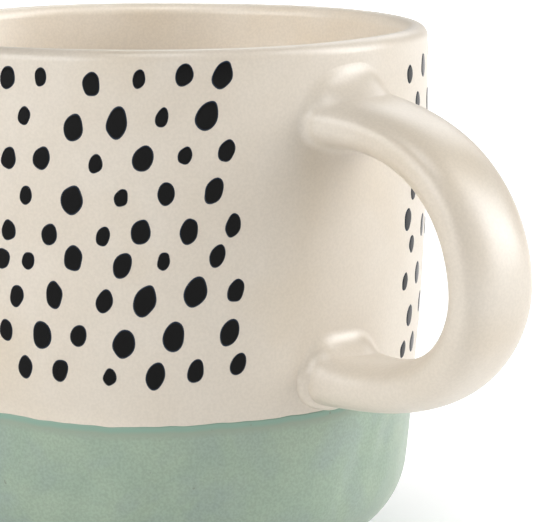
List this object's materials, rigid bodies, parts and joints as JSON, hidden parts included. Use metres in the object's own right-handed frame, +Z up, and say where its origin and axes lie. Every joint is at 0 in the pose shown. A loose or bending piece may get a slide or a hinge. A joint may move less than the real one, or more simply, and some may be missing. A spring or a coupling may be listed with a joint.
{
  "type": "stoneware mug",
  "caption": "Hand-made stoneware mug with a thick strap handle, cream glaze with black spots and a green dipped base.",
  "frame": {"origin": "centre of the foot's resting face, on the cup's axis", "axes": "+Z up along the cup's axis, +X out through the middle of the handle, +Y completes a right-handed frame"},
  "size_m": [0.1228, 0.0898, 0.09],
  "materials": {
    "bare_clay": "bare fired stoneware, matt and slightly gritty",
    "cream_glaze": "satin cream glaze over pale clay",
    "green_glaze": "satin sage-green glaze with fine dark specks",
    "black_spots": "glossy black brush-painted spots"
  },
  "bodies": {
    "root": {"cup_body": "bare_clay", "handle": "bare_clay", "upper_handle_joint": "bare_clay", "lower_handle_joint": "bare_clay", "liner_glaze": "cream_glaze", "cream_glaze": "cream_glaze", "green_glaze": "green_glaze", "handle_glaze": "cream_glaze"}
  },
  "joints": []
}
